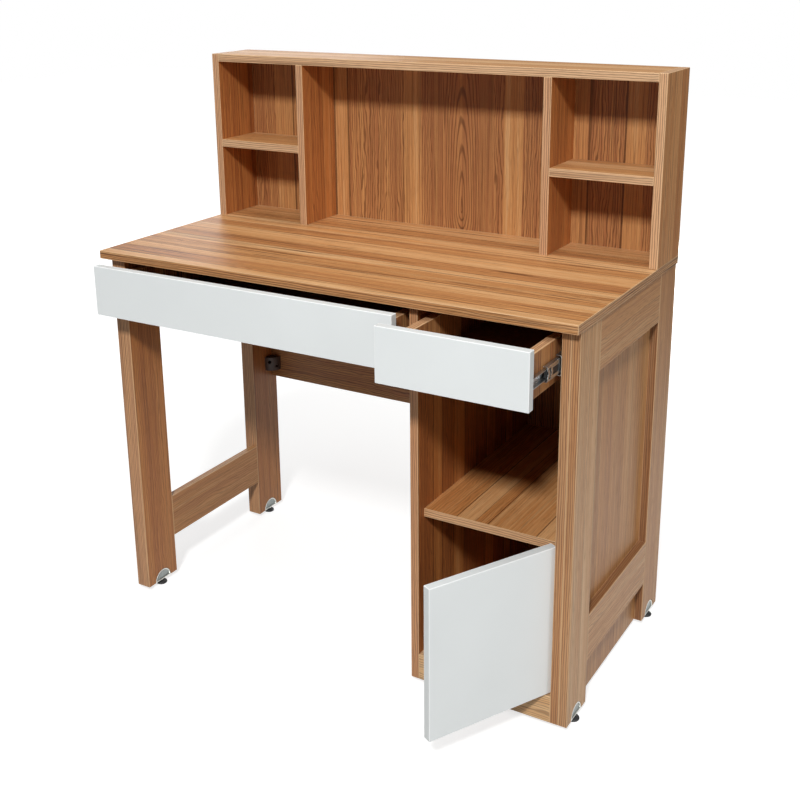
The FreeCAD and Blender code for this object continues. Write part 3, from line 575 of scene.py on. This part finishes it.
SLOT_FINISH = {
    "zinc_steel": "zinc_plated_strip", "nickel_steel": "nickel_plate", "screw_steel": "zinc_plated_screw",
    "silver_housing": "satin_silver", "black_retainer": "black_moulding", "brown_plastic": "brown_moulding",
    "foot_plastic": "grey_black_moulding", "hardboard": "hardboard", "beech_dowel": "turned_beech",
}
for part in frame["record"]["subparts"]:
    if part["material_slot"] in SLOT_FINISH:
        dress(finishes[SLOT_FINISH[part["material_slot"]]], part["node"])
print("fittings dressed in", sorted(finishes))

# %% [markdown]
# ## Turned and threaded pieces
# Feet and screws are turned on a lathe, so one function turns a profile round an axis and skins the rings. A wave
# may bend each ring on the way: it cuts the flutes of a foot, the thread of a stem or the cross of a screw head. A
# plain cylinder with a bump would do from afar, but a bump is only shading and leaves the mesh a plain cylinder.

# %% Turn a profile
SHARP = math.radians(35)
ROUND = 32  # steps round a screw or a bore


def new_object(name, mesh):
    """Links an object to the scene, made of an edit mesh that is then freed."""
    data = bpy.data.meshes.new(name)
    mesh.to_mesh(data)
    mesh.free()
    made = bpy.data.objects.new(name, data)
    bpy.context.scene.collection.objects.link(made)
    return made


def add_piece(name, mesh, body, slot, *stands_for):
    """Makes a piece of a mesh, dresses it, and lets it ride on a body in place of these CAD nodes."""
    bmesh.ops.recalc_face_normals(mesh, faces=mesh.faces)
    piece = new_object(name, mesh)
    piece.data.shade_smooth()
    piece.data.set_sharp_from_angle(angle=SHARP)
    piece.data.materials.append(finishes[SLOT_FINISH[slot]])
    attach(piece, body)
    if stands_for:
        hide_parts(*stands_for)
    return piece


def skin(mesh, rings):
    """Joins rings of points, in mm, with quads, and closes both ends."""
    made = [[mesh.verts.new(point * MM) for point in ring] for ring in rings]
    for lower, upper in zip(made, made[1:]):
        for here in range(len(lower)):
            beyond = (here + 1) % len(lower)
            mesh.faces.new((lower[here], lower[beyond], upper[beyond], upper[here]))
    mesh.faces.new(reversed(made[0]))
    mesh.faces.new(made[-1])


def turned(mesh, place, profile, around, wave=None):
    """Turns a profile of radius and height, in mm, round the z axis of a place."""
    rings = []
    for radius, height in profile:
        ring = []
        for step in range(around):
            angle = 2 * math.pi * step / around
            out, up = wave(radius, height, angle) if wave else (radius, height)
            ring.append(place @ Vector((out * math.cos(angle), out * math.sin(angle), up)))
        rings.append(ring)
    skin(mesh, rings)


def standing(seat, out):
    """A place on a seat, in mm, whose z axis points out."""
    return Matrix.Translation(seat) @ Vector(out).to_track_quat("Z", "Y").to_matrix().to_4x4()


def threaded(pitch, depth, radius, height, angle):
    """A wave that cuts a screw thread."""
    turn = (height / pitch - angle / (2 * math.pi)) % 1.0
    return radius - depth * abs(2 * turn - 1), height


print("lathe ready")

# %% [markdown]
# ## Levelling feet
# Each post has a half-disc housing let into its foot, with a raised rim round a sunk face. A threaded stem screws up
# into it and carries a black pad, fluted so that fingers can turn it. The housing is the outline of a half disc, inset
# step by step and skinned, and its bore is cut by a boolean so that the stem can run in it.

# %% Make the feet
FOOT_SPOTS = {"front_left": (-461.0, -188.0), "rear_left": (-461.0, 202.0), "front_right": (492.0, -188.0),
              "rear_right": (492.0, 202.0)}
HOUSING_HALF = 6.0  # the stem stands this far behind the post's face
HOUSING_FLOOR = 10.0  # height of the housing's straight edge
HOUSING_RADIUS = 23.2
HOUSING_STEPS = 28
# How far inside the outline and how far behind the face each ring of the housing lies
HOUSING_RINGS = [(0.0, 12.0), (0.0, 0.9), (0.25, 0.3), (0.8, 0.05), (1.9, 0.05), (2.4, 0.3), (2.7, 0.9), (2.9, 2.2),
                 (3.2, 2.4)]
RIM_FADE = (3.2, 2.6)  # how far inside the outline the dull face turns into the bright rim
RIM_SHARE = 0.75
RIM_DULL, RIM_BRIGHT = "#7D8381", "#ECEBE4"
PAD_PROFILE = [(8.6, 0.0), (10.6, 0.3), (11.6, 1.0), (12.0, 2.0), (12.0, 3.1), (11.5, 4.1), (10.4, 4.8), (7.4, 5.1),
               (6.2, 5.3), (5.4, 5.7), (5.0, 6.0)]
FLUTES, FLUTE_STEPS = 18, 6
FLUTE_SHARE = 0.03  # depth of a flute, as a share of the radius,
FLUTED_FROM = 10  # on all rings that are wider than this radius
STEM_RADIUS, STEM_PITCH, STEM_THREAD = 3.0, 1.25, 0.6
STEM_FOOT, STEM_LENGTH = 6.0, 18
STEM_RISE, STEM_STEPS = 0.25, 20  # height of each ring of the stem, and steps round it
BORE_RADIUS, BORE_TOP = 3.3, 29.5


def fluted(radius, height, angle):
    """A wave that cuts finger flutes into the rim of a pad."""
    share = FLUTE_SHARE if radius > FLUTED_FROM else 0.0
    return radius * (1 - share * (0.5 + 0.5 * math.cos(FLUTES * angle))), height


def half_disc(centre, inset, depth):
    """The outline of a housing, this far inside its edge and behind the post's face."""
    arc = HOUSING_RADIUS - inset
    start = math.asin(inset / arc)
    ring = []
    for step in range(HOUSING_STEPS + 1):
        angle = start + (math.pi - 2 * start) * step / HOUSING_STEPS
        ring.append((arc * math.cos(angle), arc * math.sin(angle)))
    half = arc * math.cos(start)
    ring += [(half * (2 * step / HOUSING_STEPS - 1), inset) for step in range(1, HOUSING_STEPS)]
    return [Vector((centre[0] + HOUSING_HALF - depth, centre[1] + along, HOUSING_FLOOR + up)) for along, up in ring]


def silver_rim():
    """Satin silver that is bright on the rim of each housing and dull on its sunk face."""
    material = finishes["satin_silver"].copy()
    material.name = "satin_silver_rim"
    tree = material.node_tree
    shader = tree.nodes["Principled BSDF"]
    _, along, up = put(tree, "SeparateXYZ", {0: in_mm(tree, put(tree, "TexCoord"))}).outputs
    # Front and rear housings are folded onto each other, so that one circle serves both
    rear, front = FOOT_SPOTS["rear_left"][1], FOOT_SPOTS["front_left"][1]
    folded = maths(tree, "ABSOLUTE", maths(tree, "SUBTRACT", along, (rear + front) / 2))
    aside = maths(tree, "SUBTRACT", folded, (rear - front) / 2)
    from_floor = maths(tree, "SUBTRACT", up, HOUSING_FLOOR)
    out = vectors(tree, "LENGTH", put(tree, "CombineXYZ", {0: aside, 1: from_floor}))
    rim = mapped(tree, out.outputs["Value"], [HOUSING_RADIUS - inset for inset in RIM_FADE])
    rim = maths(tree, "MAXIMUM", rim, mapped(tree, from_floor, RIM_FADE))
    old = shader.inputs["Base Color"].links[0].from_socket
    dull, bright = (mixed(tree, RIM_SHARE, old, linear(shade)) for shade in (RIM_DULL, RIM_BRIGHT))
    wire(tree, shader, Base_Color=mixed(tree, rim, dull, bright))
    return material


housings, bores = bmesh.new(), bmesh.new()
for corner, (x, y) in FOOT_SPOTS.items():
    foot = Matrix.Translation((x, y, 0.0))
    skin(housings, [half_disc((x, y), inset, depth) for inset, depth in HOUSING_RINGS])
    turned(bores, foot, [(BORE_RADIUS, 0.0), (BORE_RADIUS, BORE_TOP)], ROUND)
    pad = bmesh.new()
    turned(pad, foot, PAD_PROFILE, FLUTE_STEPS * FLUTES, fluted)
    add_piece(f"fluted_pad_{corner}", pad, f"foot_{corner}", "foot_plastic", f"foot_pad_{corner}")
    stem = bmesh.new()
    rise = [(STEM_RADIUS, STEM_FOOT + STEM_RISE * step) for step in range(int(STEM_LENGTH / STEM_RISE) + 1)]
    turned(stem, foot, rise, STEM_STEPS, lambda *at: threaded(STEM_PITCH, STEM_THREAD, *at))
    add_piece(f"threaded_stem_{corner}", stem, f"foot_{corner}", "screw_steel", f"foot_stem_{corner}")
half_discs = add_piece("half_disc_housings", housings, "desk", "silver_housing", "foot_housings")
half_discs.data.materials[0] = silver_rim()
bore = new_object("bores", bores)
cut = half_discs.modifiers.new("stem_bores", "BOOLEAN")
cut.object = bore
bored = bpy.data.meshes.new_from_object(half_discs.evaluated_get(bpy.context.evaluated_depsgraph_get()))
half_discs.modifiers.remove(cut)
half_discs.data = bored
bpy.data.objects.remove(bore)
print("feet:", list(FOOT_SPOTS), "with", len(bored.polygons), "faces on the housings")

# %% [markdown]
# ## Screws
# The corner blocks and the hinges are held by pan-head chipboard screws. Only the heads show, and a head without its
# cross would look like a rivet, so the top rings of each head are pushed down along two crossed arms.

# %% Make the screws
# Radius, and height above the seat
HEAD_PROFILE = [(1.75, 0.0), (3.3, 0.0), (3.5, 0.3), (3.45, 0.9), (3.05, 1.45), (2.4, 1.8), (2.0, 1.9), (1.8, 1.93),
                (1.4, 1.97), (1.0, 1.99), (0.6, 2.0), (0.25, 2.0)]
POINT_PROFILE = [(0.25, 0.0), (1.0, 1.2)]  # height above the tip
SHANK_RADIUS, SHANK_PITCH, SHANK_THREAD = 1.75, 1.4, 0.5
SHANK_START, SHANK_RISE = 1.8, 0.35  # where the shank begins above the tip, and the height of its rings
THREAD_TOP = -0.3
CROSS_REACH, CROSS_ARM, CROSS_DEPTH = 1.85, 0.45, 1.2
CROSS_FROM = 1  # only rings above this height are pushed down
# Corner blocks: x of the board beside them and the way off it, their undersides and their height
BLOCK_SIDES = ((-455, 1), (188, -1))
BLOCK_BOTTOMS, BLOCK_HEIGHT = (364, 534), 32
BLOCK_SEAT, BLOCK_MIDDLE = 6, 11  # how far from a board a head's seat lies, and the middle of a block
MODESTY_FACE = 230
BLOCK_SHANK = 16
# Hinges: their heights, and x, y, half distance and shank of the screws in cups and plates
HINGE_HEIGHTS = (125, 287)
CUP_X, CUP_Y, CUP_SPREAD, CUP_SHANK = 440.418, -214.8, 21, 11.2
PLATE_X, PLATE_Y, PLATE_SPREAD, PLATE_SHANK = 464, -184.869, 12, 12


def chipboard_wave(radius, height, angle):
    """A wave that cuts the thread below the head and the cross into its top."""
    if height < THREAD_TOP:
        return threaded(SHANK_PITCH, SHANK_THREAD, radius, height, angle)
    off_arm = radius * min(abs(math.cos(angle)), abs(math.sin(angle)))
    if height > CROSS_FROM and radius < CROSS_REACH and off_arm < CROSS_ARM:
        height -= CROSS_DEPTH * (1 - radius / (2 * CROSS_REACH))
    return radius, height


def chipboard_screw(mesh, place, shank):
    """A screw whose head stands on a place and whose shank is this long, in mm."""
    point = [(radius, height - shank) for radius, height in POINT_PROFILE]
    rows = int((shank - SHANK_START) / SHANK_RISE)
    shaft = [(SHANK_RADIUS, SHANK_START - shank + SHANK_RISE * row) for row in range(rows)]
    turned(mesh, place, point + shaft + HEAD_PROFILE, ROUND, chipboard_wave)


block_screws, cup_screws, plate_screws = bmesh.new(), bmesh.new(), bmesh.new()
for board, side in BLOCK_SIDES:
    for bottom in BLOCK_BOTTOMS:
        low, high = bottom + BLOCK_HEIGHT / 3, bottom + 2 * BLOCK_HEIGHT / 3
        beside = (board + BLOCK_SEAT * side, MODESTY_FACE - BLOCK_MIDDLE, low)
        behind = (board + BLOCK_MIDDLE * side, MODESTY_FACE - BLOCK_SEAT, high)
        chipboard_screw(block_screws, standing(beside, (side, 0, 0)), BLOCK_SHANK)
        chipboard_screw(block_screws, standing(behind, (0, -1, 0)), BLOCK_SHANK)
hinge = Vector(HINGE_LINE)
opened = Matrix.Translation(hinge) @ Matrix.Rotation(DOOR_OPEN, 4, "Z") @ Matrix.Translation(-hinge)
for height in HINGE_HEIGHTS:
    for side in (1, -1):
        cup = standing((CUP_X, CUP_Y, height + CUP_SPREAD * side), (0, 1, 0))
        plate = standing((PLATE_X, PLATE_Y, height + PLATE_SPREAD * side), (-1, 0, 0))
        chipboard_screw(cup_screws, opened @ cup, CUP_SHANK)
        chipboard_screw(plate_screws, plate, PLATE_SHANK)
add_piece("cross_head_block_screws", block_screws, "desk", "screw_steel", "corner_block_screws")
add_piece("cross_head_cup_screws", cup_screws, "door", "screw_steel", "hinge_cup_screws")
add_piece("cross_head_plate_screws", plate_screws, "desk", "screw_steel", "hinge_plate_screws")
print("screws: 16")

# %% [markdown]
# ## Drawer slides
# A ball slide is three strips of steel, rolled into channels that run in each other. The strip is bent, not milled, so
# its corners are round. The front end of the middle strip is stamped: a waisted edge, a waisted slot behind it and a
# window, through which the black ball retainer shows. Each strip is drawn as a sheet of cells across its profile and
# along its length. Cells that are stamped out are left away, and walls close every rim.

# %% Roll the slides
GAUGE = 1.2
BEND, BEND_STEPS = 1.6, 4  # radius of the bends, at the middle of the strip
WEB_COLUMNS = 15
# Web, lip and half height of each strip's profile, from the carcass face
CABINET_STRIP, MIDDLE_STRIP, DRAWER_STRIP = (0.6, 10.3, 17.5), (3.2, 10.3, 13.1), (12.1, 5.2, 8.7)
SLIDE_HEIGHT = 672.0
SLIDE_START, SLIDE_END = -230.0, 167.5
SLIDES = {
    # drawer: the two carcass faces and the way into the gap, how far the drawer stands open
    "left": (((-455.0, 1), (188.0, -1)), 40.0),
    "right": (((204.0, 1), (466.0, -1)), 100.0),
}
WAIST_DEPTH, WAIST_HALF = 5.0, 5.0
WAIST_REACH = 45.0  # the waist fades out over this length
# Stamped cuts: from and to, behind the front end, and half height
SLOT_CUT, WINDOW_CUT = (6.5, 12.5, 9.0), (19.0, 46.0, 7.0)
STAMPED_ROWS = [0.0, 2.2, 4.4, 6.5, 9.5, 12.5, 14.5, 16.5, 19.0, 24.0, 30.0, 38.0, 46.0, 60.0]
# Buffer: how far behind the front end each ring lies, and its size as a share of the largest
BUFFER_RINGS = [(0.6, 0.86), (1.4, 1.0), (4.0, 1.0), (4.6, 0.9), (5.6, 0.9), (6.2, 1.0), (10.0, 1.0), (10.8, 0.86)]
BUFFER_MIDDLE, BUFFER_DEEP, BUFFER_HALF, BUFFER_CHAMFER = 7.5, 2.3, 6.8, 0.8
RUNNER_SCREWS = (37.0, 197.0, 357.0)
RUNNER_FACE = 11.5
FLAT_WIDE, FLAT_TALL = 0.9, 0.6  # the slides' screw heads are this much smaller and flatter
FLAT_HEAD = [(radius * FLAT_WIDE, height * FLAT_TALL) for radius, height in HEAD_PROFILE[1:]]


def bent_profile(web, lip, half):
    """Points and outward normals along a channel's middle line, from one lip round the web to the other."""
    inward = 1 if lip > web else -1
    side = half - GAUGE / 2
    flat = side - BEND
    lower = [((lip, -side), (0, -1)), ((web + inward * BEND, -side), (0, -1))]
    for step in range(1, BEND_STEPS):
        turn = math.radians(90 * step / BEND_STEPS)
        centre = (web + inward * BEND, -side + BEND)
        normal = (-inward * math.sin(turn), -math.cos(turn))
        lower.append(((centre[0] + BEND * normal[0], centre[1] + BEND * normal[1]), normal))
    middle = [((web, flat * (2 * step / (WEB_COLUMNS - 1) - 1)), (-inward, 0)) for step in range(WEB_COLUMNS)]
    upper = [((x, -z), (nx, -nz)) for (x, z), (nx, nz) in reversed(lower)]
    return lower + middle + upper


def waist(behind, z):
    """How far the stamped front end stands back at this height, which fades out along the strip."""
    return WAIST_DEPTH * math.exp(-(z / WAIST_HALF) ** 2) * max(0.0, 1 - behind / WAIST_REACH)


def rolled_channel(mesh, face, side, strip, drawn, stamped=False):
    """A rolled strip along y, in mm, drawn out this far. Its profile leads from a carcass face towards +x or -x."""
    profile = bent_profile(*strip)
    start, length = SLIDE_START - drawn, SLIDE_END - SLIDE_START
    rows = STAMPED_ROWS + [length] if stamped else [0.0, length]
    cuts = (SLOT_CUT, WINDOW_CUT) if stamped else ()
    spots = {}
    for row, behind in enumerate(rows):
        for column, ((x, z), (nx, nz)) in enumerate(profile):
            y = start + behind + (waist(behind, z) if stamped else 0.0)
            for skin_side in (1, -1):
                out = skin_side * GAUGE / 2
                spot = Vector((face + side * (x + out * nx), y, SLIDE_HEIGHT + z + out * nz))
                spots[row, column, skin_side] = mesh.verts.new(spot * MM)
    cells = set()
    for row in range(len(rows) - 1):
        for column in range(len(profile) - 1):
            along = (rows[row] + rows[row + 1]) / 2
            off = abs(profile[column][0][1] + profile[column + 1][0][1]) / 2
            if not any(near < along < far and off < tall for near, far, tall in cuts):
                cells.add((row, column))
    for row, column in cells:
        corners = [(row, column), (row, column + 1), (row + 1, column + 1), (row + 1, column)]
        for skin_side in (1, -1):
            mesh.faces.new([spots[corner + (skin_side,)] for corner in corners])
        beyond = [(row - 1, column), (row, column + 1), (row + 1, column), (row, column - 1)]
        for here, there, neighbour in zip(corners, corners[1:] + corners[:1], beyond):
            if neighbour not in cells:
                rim = [spots[here + (1,)], spots[there + (1,)], spots[there + (-1,)], spots[here + (-1,)]]
                mesh.faces.new(rim)


def front_buffer(mesh, face, side, start):
    """A black moulded block in the mouth of the middle strip, with two shallow ribs across it."""
    rings = []
    cut = BUFFER_CHAMFER
    for back, wide in BUFFER_RINGS:
        half = BUFFER_HALF * wide
        near, far = BUFFER_MIDDLE - BUFFER_DEEP * wide, BUFFER_MIDDLE + BUFFER_DEEP * wide
        outline = [(near + cut, -half), (far - cut, -half), (far, cut - half), (far, half - cut), (far - cut, half),
                   (near + cut, half), (near, half - cut), (near, cut - half)]
        rings.append([Vector((face + side * x, start + back, SLIDE_HEIGHT + z)) for x, z in outline])
    skin(mesh, rings)


cabinet_strips = bmesh.new()
for drawer, (faces, travel) in SLIDES.items():
    middles, runners, buffers, heads = bmesh.new(), bmesh.new(), bmesh.new(), bmesh.new()
    for face, side in faces:
        rolled_channel(cabinet_strips, face, side, CABINET_STRIP, 0.0)
        rolled_channel(middles, face, side, MIDDLE_STRIP, travel / 2, stamped=True)
        rolled_channel(runners, face, side, DRAWER_STRIP, travel)
        front_buffer(buffers, face, side, SLIDE_START - travel / 2)
        for behind in RUNNER_SCREWS:
            seat = (face + side * RUNNER_FACE, SLIDE_START - travel + behind, SLIDE_HEIGHT)
            turned(heads, standing(seat, (-side, 0, 0)), FLAT_HEAD, ROUND)
    add_piece(f"{drawer}_rolled_middle_strips", middles, f"{drawer}_slide_middle", "zinc_steel",
              f"{drawer}_slide_middle_members")
    add_piece(f"{drawer}_rolled_drawer_strips", runners, f"{drawer}_drawer", "zinc_steel",
              f"{drawer}_slide_drawer_members")
    add_piece(f"{drawer}_slide_buffers", buffers, f"{drawer}_slide_middle", "black_retainer")
    add_piece(f"{drawer}_slide_screws", heads, f"{drawer}_drawer", "screw_steel")
add_piece("rolled_cabinet_strips", cabinet_strips, "desk", "zinc_steel", "slide_cabinet_members")
print("slides: two pairs")

# %% [markdown]
# ## Studio light and floor
# The desk was lit by one main light high in front, near the camera's own side: the hutch top shades the back panel
# below it, and the divider faces that look to the right are lit. A broad light from above lifts the desktop, and a
# weaker one from the right lifts the side. One behind on the left gives the desktop its sheen, and a low one straight
# behind keeps the back from going dark. The surroundings are white, and the floor is pale and matt. It is lifted to
# white for the eye alone, most of all far away, so that it holds the desk's shadow and shows no horizon.

# %% Light the desk
LIGHTS = {
    # name: place, aim, width in metres, watts
    "main_softbox": ((1.85, -4.7, 4.75), (0.0, 0.1, 0.9), 0.7, 338.0),
    "overhead_softbox": ((0.1, -0.6, 3.6), (0.0, -0.1, 0.7), 2.0, 50.0),
    "right_softbox": ((3.6, -0.9, 1.5), (0.4, 0.0, 0.5), 1.8, 18.0),
    "sheen_softbox": ((-2.5, 2.9, 1.5), (-0.2, 0.2, 0.7), 1.4, 16.0),
    "rear_softbox": ((-0.4, 3.4, 0.56), (0.0, 0.2, 0.6), 1.0, 56.0),
}
STUDIO_MIRRORED = 0.2  # how bright the white surroundings are in a mirror,
STUDIO_FILL = 0.03  # and as a light on the desk
FLOOR_REACH, FLOOR_CELLS = 9.0, 4
FLOOR_FADE = (1.2, 2.6)  # metres from the desk over which the floor turns fully white
FLOOR_LIFT = 0.72  # how much light of its own the floor near the desk shows,
FLOOR_FAR_MIRRORED = 0.05  # and the floor far away in a mirror
for name, (place, aim, width, power) in LIGHTS.items():
    lamp = bpy.data.lights.new(name, "AREA")
    lamp.shape = "SQUARE"
    lamp.size = width
    lamp.energy = power
    holder = bpy.data.objects.new(name, lamp)
    holder.location = place
    holder.rotation_euler = (Vector(aim) - Vector(place)).to_track_quat("-Z", "Y").to_euler()
    bpy.context.scene.collection.objects.link(holder)

world = bpy.data.worlds.new("white_studio")
bpy.context.scene.world = world
world.use_nodes = True
sky = world.node_tree
sky.nodes.clear()
ray = put(sky, "LightPath").outputs
seen = maths(sky, "MAXIMUM", ray["Is Camera Ray"], ray["Is Transmission Ray"])
mirrored = maths(sky, "MULTIPLY", ray["Is Glossy Ray"], STUDIO_MIRRORED)
level = mapped(sky, maths(sky, "MAXIMUM", seen, mirrored), UNIT, (STUDIO_FILL, 1.0))
studio = put(sky, "Background", {"Color": linear("#FFFFFF"), "Strength": level})
put(sky, "OutputWorld", {"Surface": studio})

floor_mesh = bmesh.new()
bmesh.ops.create_grid(floor_mesh, x_segments=FLOOR_CELLS, y_segments=FLOOR_CELLS, size=FLOOR_REACH)
floor = new_object("pale_floor", floor_mesh)
material, tree, shader = new_finish("pale_matt_floor", Base_Color=linear("#B4B4B3"), Roughness=0.9,
                                    Specular_IOR_Level=0.1, Emission_Color=linear("#FFFFFF"))
ray = put(tree, "LightPath").outputs
from_desk = vectors(tree, "LENGTH", put(tree, "TexCoord").outputs["Object"]).outputs["Value"]
brighten = mapped(tree, from_desk, FLOOR_FADE, (FLOOR_LIFT, 1.0))
dim = mapped(tree, from_desk, FLOOR_FADE, (FLOOR_LIFT, FLOOR_FAR_MIRRORED))
mirrored = maths(tree, "MULTIPLY", ray["Is Glossy Ray"], dim)
lift = maths(tree, "MULTIPLY_ADD", ray["Is Camera Ray"], brighten, mirrored)
wire(tree, shader, Emission_Strength=lift)
floor.data.materials.append(material)
bpy.context.scene.view_settings.view_transform = "Standard"
print("lights:", list(LIGHTS))
